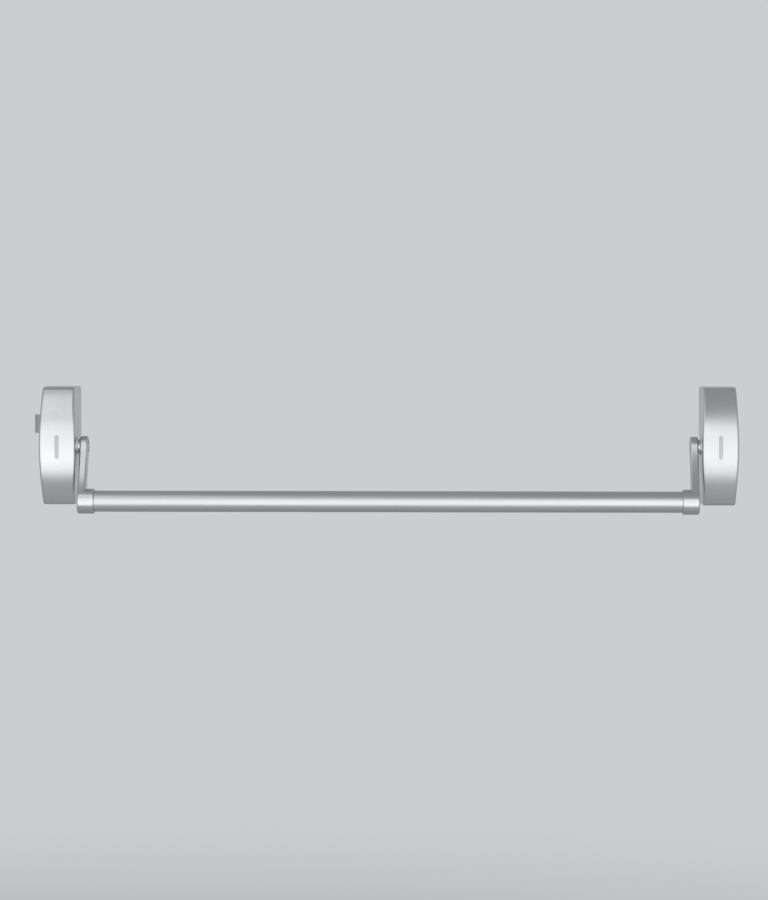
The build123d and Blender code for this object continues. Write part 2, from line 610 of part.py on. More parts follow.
def make_roller():
    """The roller on the latch pin, which runs on the lifter's sloping edge."""
    with BuildPart() as roller:
        with BuildSketch(front_plane(ROLLER_DEPTH[0])):
            with Locations((PIN_X, PIN_Z)):
                Circle(ROLLER_RADIUS)
                Circle(PIN_RADIUS + RUNNING, mode=Mode.SUBTRACT)
        extrude(amount=ROLLER_DEPTH[1] - ROLLER_DEPTH[0])
    return roller.part


def make_latch_spring():
    """The compression spring between the end of the guide and the bottom of the latch's bore."""
    from_x = LATCH_SPRING_BORE_X + 0.6
    length = LATCH_SPRING_END_X - 0.6 - from_x
    with BuildPart() as spring:
        with BuildLine():
            start = (from_x, -LATCH_SPRING_DEPTH, LATCH_SPRING_Z)
            coil = Helix(length / 9, length, 3.1, start, (1, 0, 0))
        with BuildSketch(Plane(coil @ 0, z_dir=coil % 0)):
            Circle(0.45)
        sweep()
    return spring.part


# ---------------------------------------------------------------- the pieces
os.makedirs("parts", exist_ok=True)

save(make_base(True), "base_latch_side")
save(mirror(make_base(False), about=MIDDLE), "base_hinge_side")
save(make_cover(True), "cover_latch_side")
save(mirror(make_cover(False), about=MIDDLE), "cover_hinge_side")

save_pair(pill_on_front(0.08, MARK_DEPTH, MARK_DEPTH - INLAY_THICKNESS), "inlay")

for way, where in ((1, "top"), (-1, "bottom")):
    seat = Plane((0, -COVER_SCREW_DEPTH, way * HALF_HEIGHT), x_dir=(1, 0, 0), z_dir=(0, 0, way))
    save_pair(countersunk_screw(seat, COVER_SCREW_RADIUS - 0.05, 3.7, 8.2), f"cover_screw_{where}")

save_pair(make_shaft(), "shaft")
save_pair(make_clip(), "shaft_clip")
for ear, radius, shaft_radius, flange, flange_radius, name in (
    (OUTER_EAR, OUTER_BUSH_RADIUS, SHAFT_RADIUS, OUTER_FLANGE, 8.6, "outer_bush"),
    (INNER_EAR, INNER_BUSH_RADIUS, TAIL_RADIUS, INNER_FLANGE, 7.0, "inner_bush"),
):
    save_pair(make_bush(ear, radius, shaft_radius + RUNNING, flange, flange_radius), name)
save_pair(make_ring(INNER_SLEEVE, SLEEVE_RADIUS, SHAFT_RADIUS), "inner_sleeve")
save_pair(make_ring(OUTER_SLEEVE, SLEEVE_RADIUS, SHAFT_RADIUS), "outer_sleeve")
save_pair(make_ring(ARM_SPACER, 8.0, SHAFT_RADIUS + RUNNING), "arm_spacer")
save_pair(make_cam(), "cam")
save_pair(make_return_spring(), "return_spring")
save_pair(make_buffer(), "stop_buffer")

save_pair(make_arm(), "arm")
washer_top = RECESS_FLOOR_X + 0.8
save_pair(make_ring((RECESS_FLOOR_X, washer_top), 5.6, ARM_SCREW_RADIUS + 0.2, 0.1), "arm_washer")
save_pair(cap_screw(pivot_plane(washer_top), ARM_SCREW_RADIUS - 0.02, 4.6, 2.6, 13.5), "arm_screw")
save_pair(make_set_screw(), "set_screw")
save_pair(make_bar_plug(), "bar_plug")
save(make_bar(), "bar")

save(make_lifter(), "lifter_plate")
save(make_guide(), "latch_guide")
for x, where in zip(GUIDE_SCREW_X, ("outer", "inner")):
    seat = Plane((x, 0, GUIDE_SCREW_Z), x_dir=(1, 0, 0), z_dir=(0, 1, 0))
    save(countersunk_screw(seat, 1.5 - 0.02, 2.6, 7.5), f"guide_screw_{where}")
save(make_latch(), "latch_bolt")
save(make_pin(), "latch_pin")
save(make_roller(), "latch_roller")
save(make_latch_spring(), "latch_spring")
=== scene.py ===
import json
import math

import bmesh
import bpy
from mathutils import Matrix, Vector


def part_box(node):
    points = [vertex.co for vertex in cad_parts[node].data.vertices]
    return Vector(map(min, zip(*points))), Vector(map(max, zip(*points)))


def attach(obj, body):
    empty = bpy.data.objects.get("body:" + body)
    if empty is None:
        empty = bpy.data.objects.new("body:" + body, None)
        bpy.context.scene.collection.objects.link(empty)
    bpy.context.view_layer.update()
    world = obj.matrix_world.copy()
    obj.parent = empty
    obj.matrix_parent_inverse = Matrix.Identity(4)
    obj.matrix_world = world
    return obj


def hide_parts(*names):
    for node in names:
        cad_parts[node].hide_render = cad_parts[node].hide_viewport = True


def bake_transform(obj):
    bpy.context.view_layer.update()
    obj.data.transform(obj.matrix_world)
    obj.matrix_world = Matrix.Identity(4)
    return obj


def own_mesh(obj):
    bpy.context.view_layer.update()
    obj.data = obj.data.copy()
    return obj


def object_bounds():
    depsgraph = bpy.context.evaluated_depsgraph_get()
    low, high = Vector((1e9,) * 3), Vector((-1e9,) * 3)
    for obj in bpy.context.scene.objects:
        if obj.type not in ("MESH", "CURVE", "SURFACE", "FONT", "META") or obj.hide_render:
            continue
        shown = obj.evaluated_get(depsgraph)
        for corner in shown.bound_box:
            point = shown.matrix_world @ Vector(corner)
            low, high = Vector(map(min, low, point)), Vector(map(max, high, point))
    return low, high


# Panic exit bar, surface mounted on a door leaf. The frame is the CAD's, in metres: +X along the bar, +Y
# into the door, +Z up. The origin is on the door's face, behind the middle of the latch-side housing.

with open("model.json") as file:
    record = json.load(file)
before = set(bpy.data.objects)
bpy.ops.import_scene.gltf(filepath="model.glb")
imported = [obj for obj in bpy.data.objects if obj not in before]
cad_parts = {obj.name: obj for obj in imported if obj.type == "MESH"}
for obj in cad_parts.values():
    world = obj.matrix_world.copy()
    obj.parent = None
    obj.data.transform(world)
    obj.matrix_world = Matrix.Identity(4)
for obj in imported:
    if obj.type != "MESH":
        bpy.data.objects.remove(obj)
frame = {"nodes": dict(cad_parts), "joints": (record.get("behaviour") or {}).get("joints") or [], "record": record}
NODES = frame["nodes"]
cad_low, cad_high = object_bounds()

MM = 0.001
ENDS = ("latch_side", "hinge_side")
PIVOT_DEPTH = -frame["joints"][0]["pos_m"][1]

# Where the camera stands, seen from the middle of the object.
VIEW_DISTANCE = 3.7
VIEW_UP = math.radians(3.3)
VIEW_RIGHT = math.radians(1.5)
FRAME_FILL = 0.92  # the share of the picture's width that the object takes
PICTURE_WIDTH, PICTURE_HEIGHT = 768, 900
SENSOR = 36  # mm

# The studio. A radiance of 1 is white, and heights are from the object's middle.
HORIZON = (0.60, 0.61, 0.62)  # what surrounds the floor, and the colour of the painted glow that the floor fades into
CEILING = (0.42, 0.43, 0.44)
HORIZON_TOP, CEILING_FROM = 0.18, 0.65  # the sines of the angles up, between which one turns to the other
FLOOR_DROP = 0.95  # from the object's lowest point to the floor: a push bar sits about a metre up
FLOOR_SIZE = 80
FLOOR_GLOW_SPAN = (0.6, 3.6)  # how far out the floor starts and ends its change into a painted glow; nearer in it does not glow, a painted shadow pool under the object
PANEL_DISTANCE, PANEL_WIDTH = 1.0, 2.4
PANELS = {"front_high": (0.24, 0.66, 1.06), "front_low": (-0.44, 0.68, 1.33)}  # middle, height, radiance
SIDE_LIGHT_FROM_END = Vector((-0.25, -0.8, 0.95))
SIDE_LIGHT_WIDTH, SIDE_LIGHT_HEIGHT, SIDE_LIGHT_RADIANCE = 0.8, 0.7, 0.92

# The thin seal between bar and socket.
SEAL_RADIUS = 0.42 * MM
SEAL_INSET = 0.35 * MM  # how far its middle lies inside the socket's mouth
SEAL_STEPS = 96

# The springs are wound as in the CAD. A wire's size is its radius.
WIRE_SIDES = 14
COIL_STEPS = 30  # to a turn
LEG_STEP = 0.9 * MM
RETURN_WIRE, RETURN_PITCH = 0.75 * MM, 2.1 * MM
RETURN_TURNS = 2 + (180 - 12.5) / 360
RETURN_COIL_FROM_TIP = 5.5 * MM
LATCH_WIRE, LATCH_TURNS = 0.45 * MM, 9
CLOSED_PITCH = 2.3 * LATCH_WIRE  # of the turn at each end

# A screw's thread, in pitches: the lead-in before its first turn, half its foot and how deep that is sunk
# in the shank, and its crest, out and along.
THREAD_STEPS = 36  # to a turn
THREAD_LEAD = 0.6
THREAD_HALF, THREAD_SUNK = 0.42, 0.12
THREAD_CREST = ((0.28, -0.07), (0.28, 0.07))
SHARP_ANGLE = math.radians(35)

# Colours that show through or lie on a finish.
BARE_ALLOY = (0.86, 0.85, 0.84, 1.0)
PASSIVATION = (0.50, 0.49, 0.43, 1.0)
OIL_STAIN = (0.20, 0.17, 0.14, 1.0)
NICK = (0.30, 0.28, 0.25, 1.0)
RUBBED_BLACK = (0.30, 0.30, 0.30, 1.0)
SCORE = (0.42, 0.40, 0.37, 1.0)
POLISHED_NICKEL = (0.74, 0.72, 0.68, 1.0)
BLACK = (0.0, 0.0, 0.0, 1.0)


# ---------------------------------------------------------------- node helpers
class Shader:
    """One material's node tree, with short calls for the nodes that the finishes share."""

    def __init__(self, name, color, metallic, roughness):
        self.material = bpy.data.materials.new(name)
        self.material.use_nodes = True
        self.tree = self.material.node_tree
        self.surface = next(n for n in self.tree.nodes if n.type == "BSDF_PRINCIPLED")
        self.set("Base Color", (*color, 1.0))
        self.set("Metallic", metallic)
        self.set("Roughness", roughness)
        self.place = self.node("ShaderNodeTexCoord").outputs["Object"]
        self.height = None

    def node(self, kind, **settings):
        made = self.tree.nodes.new(kind)
        for key, value in settings.items():
            setattr(made, key, value)
        return made

    def plug(self, value, socket):
        """Links an output to a socket, or writes a plain value there."""
        if isinstance(value, bpy.types.NodeSocket):
            self.tree.links.new(value, socket)
        else:
            socket.default_value = value

    def set(self, name, value):
        self.plug(value, self.surface.inputs[name])

    def math(self, operation, a, b=0.0, clamp=False):
        made = self.node("ShaderNodeMath", operation=operation, use_clamp=clamp)
        self.plug(a, made.inputs[0])
        self.plug(b, made.inputs[1])
        return made.outputs[0]

    def times(self, a, b):
        return self.math("MULTIPLY", a, b)

    def sum(self, a, b):
        return self.math("ADD", a, b)

    def apart(self, vector, axis):
        made = self.node("ShaderNodeSeparateXYZ")
        self.plug(vector, made.inputs[0])
        return made.outputs[axis]

    def stretched(self, scale):
        """The object's own coordinates, scaled per axis."""
        made = self.node("ShaderNodeMapping")
        made.inputs["Scale"].default_value = scale
        self.plug(self.place, made.inputs["Vector"])
        return made.outputs["Vector"]

    def noise(self, scale, detail, place=None):
        """Noise with about scale features to the metre, read at the object's own coordinates or at place."""
        made = self.node("ShaderNodeTexNoise")
        self.plug(self.place if place is None else place, made.inputs["Vector"])
        made.inputs["Scale"].default_value = scale
        made.inputs["Detail"].default_value = detail
        made.inputs["Roughness"].default_value = 0.55
        return made.outputs["Fac"]

    def remap(self, value, low, high, to_low, to_high, interpolation="LINEAR"):
        made = self.node("ShaderNodeMapRange", clamp=True, interpolation_type=interpolation)
        self.plug(value, made.inputs["Value"])
        for name, number in (("From Min", low), ("From Max", high), ("To Min", to_low), ("To Max", to_high)):
            made.inputs[name].default_value = number
        return made.outputs["Result"]

    def share(self, value, low, high, most=1.0):
        """0 where the value is under low, rising to most where it is over high."""
        return self.remap(value, low, high, 0.0, most)

    def spread(self, noise, to_low, to_high):
        """Spreads a noise, which mostly lies between 0.3 and 0.7, over a range."""
        return self.remap(noise, 0.3, 0.7, to_low, to_high)

    def blend(self, share, a, b):
        made = self.node("ShaderNodeMix", data_type="RGBA")
        self.plug(share, made.inputs["Factor"])
        colors = [s for s in made.inputs if s.type == "RGBA"]
        self.plug(a, colors[0])
        self.plug(b, colors[1])
        return next(s for s in made.outputs if s.type == "RGBA")

    def edges(self, radius):
        """1 along sharp or tightly rounded edges, 0 on faces, by how far a bevel would turn the normal."""
        bevel = self.node("ShaderNodeBevel", samples=4)
        bevel.inputs["Radius"].default_value = radius
        dot = self.node("ShaderNodeVectorMath", operation="DOT_PRODUCT")
        self.plug(bevel.outputs["Normal"], dot.inputs[0])
        self.plug(self.node("ShaderNodeNewGeometry").outputs["Normal"], dot.inputs[1])
        turned = self.math("SUBTRACT", 1.0, dot.outputs["Value"], clamp=True)
        return self.share(turned, 0.02, 0.25)

    def along_x(self):
        """1 where the surface runs along X, and 0 where it faces along X."""
        normal = self.node("ShaderNodeNewGeometry").outputs["Normal"]
        return self.remap(self.math("ABSOLUTE", self.apart(normal, "X")), 0.1, 0.5, 1.0, 0.0)

    def raise_by(self, value, depth):
        """Adds a height, in metres, to the bump."""
        part = self.times(value, depth)
        self.height = part if self.height is None else self.sum(self.height, part)

    def finish(self):
        if self.height is not None:
            bump = self.node("ShaderNodeBump")
            bump.inputs["Strength"].default_value = 1.0
            bump.inputs["Distance"].default_value = 1.0
            self.plug(self.height, bump.inputs["Height"])
            self.set("Normal", bump.outputs["Normal"])
        return self.material


def shade(color, factor):
    return (*[min(1.0, c * factor) for c in color], 1.0)


# ---------------------------------------------------------------- finishes
def satin_silver(name, color):
    """Silver lacquer on a die casting: flake, faint orange peel, hand marks, bare metal on worn edges."""
    s = Shader(name, color, 1.0, 0.32)
    flake = s.noise(5200, 1.0)
    clouds = s.noise(14, 4.0)
    worn = s.times(s.edges(0.7 * MM), s.share(s.noise(160, 4.0), 0.42, 0.62))
    tone = s.blend(s.share(flake, 0.35, 0.65), shade(color, 0.93), shade(color, 1.05))
    tone = s.blend(s.share(clouds, 0.35, 0.7, 0.35), tone, shade(color, 0.88))
    s.set("Base Color", s.blend(s.times(worn, 0.6), tone, BARE_ALLOY))
    rough = s.sum(s.spread(clouds, 0.28, 0.36), s.spread(flake, -0.03, 0.03))
    rough = s.sum(rough, s.share(s.noise(420, 3.0, s.stretched((1, 1, 0.15))), 0.62, 0.72, -0.05))
    s.set("Roughness", s.math("SUBTRACT", rough, s.times(worn, 0.10), clamp=True))
    s.raise_by(s.noise(620, 2.0), 0.010 * MM)
    s.raise_by(flake, 0.0016 * MM)
    return s.finish()


def drawn_silver(name, color):
    """Satin anodised tube: grain drawn along X, with the places that hands hold rubbed smoother."""
    s = Shader(name, color, 1.0, 0.4)
    grain = s.noise(1.0, 5.0, s.stretched((9, 2600, 2600)))
    coarse = s.noise(1.0, 3.0, s.stretched((4, 420, 420)))
    hands = s.noise(5.0, 3.0)
    tone = s.blend(s.spread(grain, 0.0, 1.0), shade(color, 0.83), shade(color, 0.95))
    s.set("Base Color", s.blend(s.share(coarse, 0.45, 0.8, 0.25), tone, shade(color, 0.76)))
    s.set("Roughness", s.sum(s.spread(grain, 0.37, 0.44), s.remap(hands, 0.4, 0.65, 0.02, -0.04)))
    s.raise_by(grain, 0.0018 * MM)
    s.raise_by(coarse, 0.0014 * MM)
    return s.finish()


def dark_inlay(name, color):
    """Thin aluminium plate, brushed along Z and anodised a darker grey."""
    s = Shader(name, color, 1.0, 0.34)
    brush = s.noise(1.0, 4.0, s.stretched((3200, 3200, 60)))
    s.set("Base Color", s.blend(s.spread(brush, 0.0, 1.0), shade(color, 0.88), shade(color, 1.1)))
    s.set("Roughness", s.spread(brush, 0.28, 0.42))
    s.raise_by(brush, 0.0015 * MM)
    return s.finish()


def plated_steel(name, color):
    """Dull zinc over steel: faint spangle, cloudy passivation and fine marks along Z."""
    s = Shader(name, color, 1.0, 0.42)
    spangle = s.node("ShaderNodeTexVoronoi")
    s.plug(s.place, spangle.inputs["Vector"])
    spangle.inputs["Scale"].default_value = 240
    cloud = s.noise(46, 5.0)
    grain = s.noise(1.0, 4.0, s.stretched((1200, 1200, 30)))
    tone = s.blend(s.share(spangle.outputs["Distance"], 0.0, 0.9), shade(color, 0.92), shade(color, 1.05))
    tone = s.blend(s.share(cloud, 0.45, 0.75, 0.4), tone, PASSIVATION)
    s.set("Base Color", s.blend(s.times(s.edges(0.4 * MM), 0.5), tone, shade(color, 1.25)))
    s.set("Roughness", s.sum(s.spread(cloud, 0.34, 0.5), s.spread(grain, -0.05, 0.05)))
    s.raise_by(grain, 0.004 * MM)
    s.raise_by(s.noise(900, 2.0), 0.003 * MM)
    return s.finish()


def cast_zinc(name, color):
    """A plain die casting: finely pitted, with darker flow streaks, rubbed bright on its edges."""
    s = Shader(name, color, 1.0, 0.46)
    pits = s.noise(1500, 4.0)
    flow = s.noise(90, 5.0, s.stretched((0.4, 1, 1)))
    tone = s.blend(s.share(flow, 0.35, 0.7), shade(color, 1.05), shade(color, 0.85))
    s.set("Base Color", s.blend(s.edges(0.5 * MM), tone, shade(color, 1.3)))
    s.set("Roughness", s.sum(s.remap(flow, 0.35, 0.7, 0.38, 0.52), s.spread(pits, -0.06, 0.06)))
    s.raise_by(s.share(pits, 0.35, 0.6), 0.012 * MM)
    s.raise_by(flow, 0.01 * MM)
    return s.finish()


def turned_steel(name, color, dark=0.0):
    """Bright steel with fine rings about the pivot's axis on its faces, and round its sides."""
    s = Shader(name, color, 1.0, 0.28)
    out = s.sum(s.apart(s.place, "Y"), PIVOT_DEPTH)
    radius = s.math("SQRT", s.sum(s.math("POWER", out, 2.0), s.math("POWER", s.apart(s.place, "Z"), 2.0)))
    path = s.node("ShaderNodeCombineXYZ")
    s.plug(s.apart(s.place, "X"), path.inputs["X"])
    s.plug(radius, path.inputs["Y"])
    rings = s.noise(5200, 2.0, path.outputs[0])
    stain = s.noise(210, 4.0)
    tone = s.blend(s.share(rings, 0.35, 0.65), shade(color, 0.85), shade(color, 1.1))
    tone = s.blend(s.share(stain, 0.4, 0.7, 0.3 + dark), tone, OIL_STAIN)
    s.set("Base Color", s.blend(s.times(s.edges(0.25 * MM), 0.6), tone, shade(color, 1.35)))
    s.set("Roughness", s.sum(s.spread(rings, 0.2, 0.34), s.share(stain, 0.4, 0.7, 0.12 + dark)))
    s.raise_by(rings, 0.004 * MM)
    return s.finish()


def hardened_steel(name, color):
    return turned_steel(name, color, dark=0.3)


def drawn_wire(name, color):
    """Hard-drawn spring wire: smooth, with faint dark drawing marks and a film of oil."""
    s = Shader(name, color, 1.0, 0.3)
    marks = s.noise(2400, 2.0)
    s.set("Base Color", s.blend(s.share(marks, 0.4, 0.65, 0.5), shade(color, 1.08), shade(color, 0.7)))
    s.set("Roughness", s.remap(s.noise(320, 4.0), 0.35, 0.7, 0.2, 0.4))
    s.set("Coat Weight", 0.15)
    s.raise_by(marks, 0.003 * MM)
    return s.finish()


def bright_screw(name, color):
    """Bright zinc screws: almost smooth, dulled and nicked round the driver's recess and the rim."""
    s = Shader(name, color, 1.0, 0.26)
    dull = s.noise(700, 4.0)
    nicks = s.times(s.edges(0.3 * MM), s.share(s.noise(1500, 3.0), 0.45, 0.6))
    tone = s.blend(s.share(dull, 0.4, 0.7), shade(color, 1.05), shade(color, 0.8))
    s.set("Base Color", s.blend(nicks, tone, NICK))
    s.set("Roughness", s.sum(s.spread(dull, 0.18, 0.36), s.times(nicks, 0.2)))
    s.raise_by(s.noise(1800, 3.0), 0.004 * MM)
    return s.finish()


def black_oxide(name, color):
    """Blackened steel with a little oil on it, rubbed grey on its edges."""
    s = Shader(name, color, 0.85, 0.4)
    film = s.noise(620, 4.0)
    tone = s.blend(film, shade(color, 0.7), shade(color, 1.6))
    s.set("Base Color", s.blend(s.edges(0.25 * MM), tone, RUBBED_BLACK))
    s.set("Roughness", s.spread(film, 0.28, 0.5))
    s.raise_by(s.noise(2000, 2.0), 0.004 * MM)
    return s.finish()


def satin_nickel(name, color):
    """Nickel plate, brushed along X, scored where the bolt slides and polished on its edges."""
    s = Shader(name, color, 1.0, 0.24)
    slides = s.along_x()
    cloud = s.noise(130, 3.0)
    score = s.times(s.share(s.noise(1.0, 2.0, s.stretched((22, 900, 900))), 0.6, 0.68), slides)
    fine = s.times(s.spread(s.noise(1.0, 4.0, s.stretched((60, 2400, 2400))), 0.0, 1.0), slides)
    tone = s.blend(s.share(cloud, 0.35, 0.7), shade(color, 0.68), shade(color, 0.60))
    tone = s.blend(s.times(fine, 0.6), tone, shade(color, 0.74))
    tone = s.blend(s.times(score, 0.5), tone, SCORE)
    s.set("Base Color", s.blend(s.times(s.edges(0.4 * MM), 0.5), tone, POLISHED_NICKEL))
    dull = s.sum(s.spread(cloud, 0.36, 0.44), s.times(fine, 0.08))
    s.set("Roughness", s.sum(dull, s.times(score, 0.15)))
    s.raise_by(fine, 0.0012 * MM)
    s.raise_by(score, -0.003 * MM)
    return s.finish()


def moulded(name, color, roughness, grain, depth):
    """Moulded plastic or rubber: a spark-eroded mould's texture, a soft bloom and paler scuffed edges."""
    s = Shader(name, color, 0.0, roughness)
    texture = s.noise(grain, 3.0)
    bloom = s.noise(70, 4.0)
    tone = s.blend(s.share(bloom, 0.4, 0.7, 0.5), shade(color, 1.0), shade(color, 1.35))
    s.set("Base Color", s.blend(s.times(s.edges(0.3 * MM), 0.4), tone, shade(color, 1.8)))
    dull = s.spread(bloom, roughness - 0.06, roughness + 0.08)
    s.set("Roughness", s.sum(dull, s.spread(texture, -0.04, 0.04)))
    s.set("Specular IOR Level", 0.4)
    s.raise_by(texture, depth)
    return s.finish()


def nylon(name, color):
    return moulded(name, color, roughness=0.45, grain=2600, depth=0.004 * MM)


def rubber(name, color):
    return moulded(name, color, roughness=0.7, grain=1400, depth=0.012 * MM)


def plastic(name, color):
    return moulded(name, color, roughness=0.5, grain=2200, depth=0.006 * MM)


FINISHES = {
    "satin_silver": satin_silver,
    "arm_silver": satin_silver,
    "inlay_grey": dark_inlay,
    "bar_silver": drawn_silver,
    "zinc_plate": plated_steel,
    "cast_zinc": cast_zinc,
    "turned_steel": turned_steel,
    "hardened_steel": hardened_steel,
    "spring_steel": drawn_wire,
    "bright_screw": bright_screw,
    "black_steel": black_oxide,
    "latch_nickel": satin_nickel,
    "white_nylon": nylon,
    "black_rubber": rubber,
    "black_plastic": plastic,
}


def make_finishes(record):
    """One finished material for each material slot in the record."""
    colors = {m["slot"]: tuple(m["base_color"][:3]) for m in record["materials"]}
    return {slot: FINISHES[slot](slot, color) for slot, color in colors.items()}


def dress_cad_nodes(finishes, record):
    """Gives every CAD node the finish of its slot."""
    for subpart in record["subparts"]:
        for slot in NODES[subpart["node"]].material_slots:
            slot.material = finishes[subpart["material_slot"]]


# ---------------------------------------------------------------- mesh helpers
def spin(count):
    """Evenly spaced angles round a full turn."""
    return [2 * math.pi * i / count for i in range(count)]


def skin(bm, rings, closed=False):
    """Joins rings of points into one skin, which runs back to the first ring or has a face at each end."""
    loops = [[bm.verts.new(point) for point in ring] for ring in rings]
    pairs = list(zip(loops, loops[1:]))
    if closed:
        pairs.append((loops[-1], loops[0]))
    else:
        bm.faces.new(loops[0])
        bm.faces.new(list(reversed(loops[-1])))
    for near, far in pairs:
        for j in range(len(near)):
            k = (j + 1) % len(near)
            bm.faces.new((near[j], near[k], far[k], far[j]))


def eased(path, rounds):
    """Cuts the corners of a path, a quarter at a time, so that it bends instead of breaking."""
    for _ in range(rounds):
        cut = [path[0]]
        for a, b in zip(path, path[1:]):
            cut += [a.lerp(b, 0.25), a.lerp(b, 0.75)]
        path = cut + [path[-1]]
    return path


def wire_rings(path, radius):
    """Rings square to a path, carried along it without a twist, for a round wire."""
    rings = []
    side = (path[1] - path[0]).orthogonal()
    for i, here in enumerate(path):
        ahead = (path[min(i + 1, len(path) - 1)] - path[max(i - 1, 0)]).normalized()
        side = (side - side.dot(ahead) * ahead).normalized()
        up = ahead.cross(side)
        rings.append([here + radius * (math.cos(a) * side + math.sin(a) * up) for a in spin(WIRE_SIDES)])
    return rings


def piece_from(name, bm, finish):
    """Turns a finished bmesh into a smooth object with its material. The caller says what it rides on."""
    bmesh.ops.recalc_face_normals(bm, faces=bm.faces)
    mesh = bpy.data.meshes.new(name)
    bm.to_mesh(mesh)
    bm.free()
    mesh.materials.append(finish)
    made = bpy.data.objects.new(name, mesh)
    bpy.context.scene.collection.objects.link(made)
    mesh.shade_smooth()
    return made


# ---------------------------------------------------------------- pieces
def socket_seals(finish):
    """The thin black ring that closes the gap between the bar and each socket's mouth."""
    low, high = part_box("bar")
    bar_middle = (low + high) / 2
    radius = (high.z - low.z) / 2 + SEAL_RADIUS
    for end, way in zip(ENDS, (1, -1)):
        arm_low, arm_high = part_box(f"arm_{end}")
        mouth = arm_high.x if way > 0 else arm_low.x
        middle = Vector((mouth - way * SEAL_INSET, bar_middle.y, bar_middle.z))
        rings = []
        for a in spin(SEAL_STEPS):
            out = Vector((0, math.cos(a), math.sin(a)))
            rings.append([])
            for b in spin(WIRE_SIDES):
                section = math.cos(b) * out + Vector((math.sin(b), 0, 0))
                rings[-1].append(middle + radius * out + SEAL_RADIUS * section)
        bm = bmesh.new()
        skin(bm, rings, closed=True)
        seal = piece_from(f"socket_seal_{end}", bm, finish)
        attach(seal, "push_bar")


def coil_path(start_x, length, centre, radius, turns, rise):
    """Points round an axis along X, from above it and turning positively about +X. rise gives the share of
    the length that is reached after some turns."""
    steps = round(turns * COIL_STEPS)
    path = []
    for i in range(steps + 1):
        turn = turns * i / steps
        angle = 2 * math.pi * turn
        x = start_x + length * rise(turn)
        path.append(Vector((x, centre.y - radius * math.sin(angle), centre.z + radius * math.cos(angle))))
    return path


def straight_leg(bend, tip_x):
    """Points along X from the end of a coil to the tip of its straight end."""
    steps = max(2, round(abs(tip_x - bend.x) / LEG_STEP))
    return [bend.lerp(Vector((tip_x, bend.y, bend.z)), i / steps) for i in range(1, steps + 1)]


def return_springs(finish):
    """Each torsion spring, whose outer end stays in the housing while its inner end turns with the cam. Here it is
    built as the CAD has it, and does not turn.
    """
    for end, way in zip(ENDS, (1, -1)):
        low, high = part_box(f"return_spring_{end}")
        tips = (low.x, high.x) if way > 0 else (high.x, low.x)
        coil_start = tips[0] + way * RETURN_COIL_FROM_TIP
        centre = Vector((0, -PIVOT_DEPTH, 0))
        radius = (high.y - low.y) / 2 - RETURN_WIRE
        length = way * RETURN_TURNS * RETURN_PITCH
        path = coil_path(coil_start, length, centre, radius, RETURN_TURNS, lambda turn: turn / RETURN_TURNS)
        first, last = (straight_leg(bend, tip_x) for bend, tip_x in zip((path[0], path[-1]), tips))
        whole = list(reversed(first)) + path + last
        bm = bmesh.new()
        skin(bm, wire_rings(eased(whole, 2), RETURN_WIRE))
        spring = piece_from(f"return_coil_{end}", bm, finish)
        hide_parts(f"return_spring_{end}")
        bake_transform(spring)


def latch_coil(finish):
    """The compression spring that the latch presses shorter, built here at the CAD spring's length and not
    pressed. Its end turns are wound close.
    """
    low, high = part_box("latch_spring")
    centre = (low + high) / 2
    radius = (high.y - low.y) / 2 - LATCH_WIRE
    start_x = low.x + LATCH_WIRE
    length = high.x - low.x - 2 * LATCH_WIRE
    close = CLOSED_PITCH / length
    open_turn = (1 - 2 * close) / (LATCH_TURNS - 2)

    def rise(turn):
        if turn < 1:
            return close * turn
        if turn > LATCH_TURNS - 1:
            return 1 - close * (LATCH_TURNS - turn)
        return close + open_turn * (turn - 1)

    path = coil_path(start_x, length, centre, radius, LATCH_TURNS, rise)
    bm = bmesh.new()
    skin(bm, wire_rings(eased(path, 1), LATCH_WIRE))
    spring = piece_from("latch_coil", bm, finish)
    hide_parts("latch_spring")
    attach(spring, "housings")
    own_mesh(spring)


def threaded_screw(node, body, along, shank, radius, pitch, finish):
    """The CAD's screw with a thread wound round its shank. along points from the head to the tip, and shank
    is how much of the screw, back from its tip, has a thread."""
    low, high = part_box(node)
    along = Vector(along)
    tip = (low + high) / 2 + along * abs((high - low).dot(along)) / 2
    side = along.orthogonal().normalized()
    other = along.cross(side)
    steps = round((shank / pitch - THREAD_LEAD - 0.5) * THREAD_STEPS)
    rings = []
    for i in range(steps + 1):
        angle = 2 * math.pi * i / THREAD_STEPS
        out = math.cos(angle) * side + math.sin(angle) * other
        start = tip - along * pitch * (THREAD_LEAD + i / THREAD_STEPS) + out * radius
        height = min(1.0, 2 * i / THREAD_STEPS, 2 * (steps - i) / THREAD_STEPS)
        rings.append([start + pitch * (a * height * out - b * along) for a, b in THREAD_CREST])
        rings[-1] += [start - pitch * (THREAD_SUNK * out + b * along) for b in (THREAD_HALF, -THREAD_HALF)]
    bm = bmesh.new()
    bm.from_mesh(NODES[node].data)
    skin(bm, rings)
    screw = piece_from(f"{node}_threaded", bm, finish)
    screw.data.set_sharp_from_angle(angle=SHARP_ANGLE)
    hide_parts(node)
    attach(screw, body)


def threaded_screws(finish):
    """Each screw's threaded length, its radius just under the surface, and its pitch."""
    cover = (5.6 * MM, 1.95 * MM, 0.7 * MM)
    arm = (12.4 * MM, 2.48 * MM, 0.8 * MM)
    guide = (5.8 * MM, 1.48 * MM, 0.5 * MM)
    for end, way in zip(ENDS, (1, -1)):
        threaded_screw(f"cover_screw_top_{end}", "housings", (0, 0, -1), *cover, finish)
        threaded_screw(f"cover_screw_bottom_{end}", "housings", (0, 0, 1), *cover, finish)
        threaded_screw(f"arm_screw_{end}", "push_bar", (-way, 0, 0), *arm, finish)
    for where in ("outer", "inner"):
        threaded_screw(f"guide_screw_{where}", "housings", (0, -1, 0), *guide, finish)


# ---------------------------------------------------------------- stage, light and camera
def aim(thing, target):
    thing.rotation_euler = (target - thing.location).to_track_quat("-Z", "Y").to_euler()


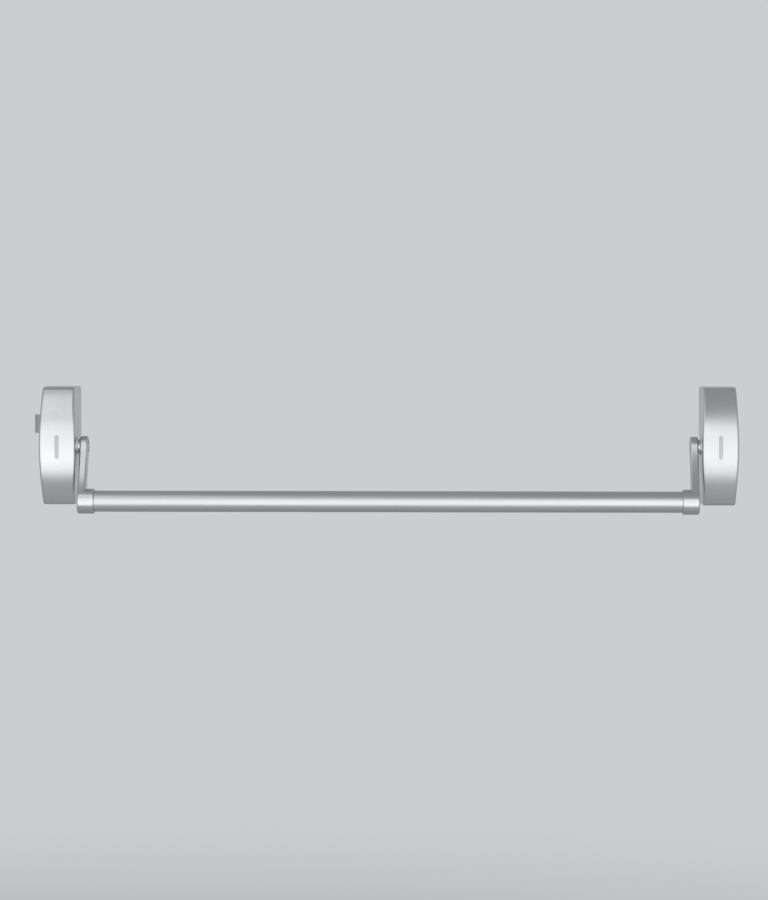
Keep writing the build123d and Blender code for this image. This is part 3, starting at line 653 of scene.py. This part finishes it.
def make_floor(z):
    """A pale matt floor. Away from the object its own colour gives way to a painted glow of the horizon's colour,
    so that no edge shows; the unglowing floor near the object is a painted shadow pool.
    """
    bpy.ops.mesh.primitive_plane_add(size=FLOOR_SIZE, location=(0, 0, z))
    floor = bpy.context.object
    floor.name = "floor"
    s = Shader("floor", (0.64, 0.64, 0.64), 0.0, 0.75)
    away = s.node("ShaderNodeVectorMath", operation="LENGTH")
    s.plug(s.place, away.inputs[0])
    # painted light: away from the object the floor's own colour gives way to a glow of the horizon's colour, which
    # leaves a painted shadow pool near it
    painted_glow = s.remap(away.outputs["Value"], *FLOOR_GLOW_SPAN, 0.0, 1.0, "SMOOTHSTEP")
    pale = s.blend(s.noise(3.0, 4.0), (0.62, 0.62, 0.62, 1.0), (0.66, 0.66, 0.66, 1.0))
    s.set("Base Color", s.blend(painted_glow, pale, BLACK))
    s.set("Specular IOR Level", 0.0)
    s.set("Emission Color", (*HORIZON, 1.0))
    s.set("Emission Strength", painted_glow)
    s.raise_by(s.noise(500, 3.0), 0.02 * MM)
    floor.data.materials.append(s.finish())


def make_light(name, place, target, width, height, radiance):
    """A soft rectangular light, seen in reflections but not by the camera."""
    data = bpy.data.lights.new(name, "AREA")
    data.shape = "RECTANGLE"
    data.size = width
    data.size_y = height
    data.energy = radiance * math.pi * width * height
    light = bpy.data.objects.new(name, data)
    light.location = place
    light.visible_camera = False
    bpy.context.scene.collection.objects.link(light)
    aim(light, target)


def make_world():
    """An even surround: pale at the horizon and greyer overhead."""
    world = bpy.data.worlds.new("studio")
    world.use_nodes = True
    tree = world.node_tree
    background = next(n for n in tree.nodes if n.type == "BACKGROUND")
    direction = tree.nodes.new("ShaderNodeTexCoord")
    apart = tree.nodes.new("ShaderNodeSeparateXYZ")
    ramp = tree.nodes.new("ShaderNodeValToRGB")
    tree.links.new(direction.outputs["Generated"], apart.inputs[0])
    tree.links.new(apart.outputs["Z"], ramp.inputs["Fac"])
    tree.links.new(ramp.outputs["Color"], background.inputs["Color"])
    stops = ((HORIZON_TOP, HORIZON), (CEILING_FROM, CEILING))
    for element, (position, color) in zip(ramp.color_ramp.elements, stops):
        element.position = position
        element.color = (*color, 1.0)
    bpy.context.scene.world = world


def make_lights(middle):
    """Two broad panels before the object make the bright band on its bowed fronts. A third lights its left
    end."""
    for name, (up, height, radiance) in PANELS.items():
        target = middle + Vector((0, 0, up))
        make_light(name, target + Vector((0, -PANEL_DISTANCE, 0)), target, PANEL_WIDTH, height, radiance)
    left = Vector((cad_low.x, middle.y, middle.z))
    side = (SIDE_LIGHT_WIDTH, SIDE_LIGHT_HEIGHT, SIDE_LIGHT_RADIANCE)
    make_light("high_left", left + SIDE_LIGHT_FROM_END, left, *side)


def make_camera(middle, width):
    data = bpy.data.cameras.new("camera")
    data.sensor_width = SENSOR
    data.lens = SENSOR * VIEW_DISTANCE * FRAME_FILL / (width * PICTURE_HEIGHT / PICTURE_WIDTH)
    camera = bpy.data.objects.new("camera", data)
    flat = math.cos(VIEW_UP)
    toward = Vector((flat * math.sin(VIEW_RIGHT), -flat * math.cos(VIEW_RIGHT), math.sin(VIEW_UP)))
    camera.location = middle + VIEW_DISTANCE * toward
    bpy.context.scene.collection.objects.link(camera)
    aim(camera, middle)
    bpy.context.scene.camera = camera
    bpy.context.scene.view_settings.view_transform = "Standard"


finishes = make_finishes(frame["record"])
dress_cad_nodes(finishes, frame["record"])
socket_seals(finishes["black_rubber"])
return_springs(finishes["spring_steel"])
latch_coil(finishes["spring_steel"])
threaded_screws(finishes["bright_screw"])

middle = (cad_low + cad_high) / 2
make_floor(cad_low.z - FLOOR_DROP)
make_world()
make_lights(middle)
make_camera(middle, cad_high.x - cad_low.x)
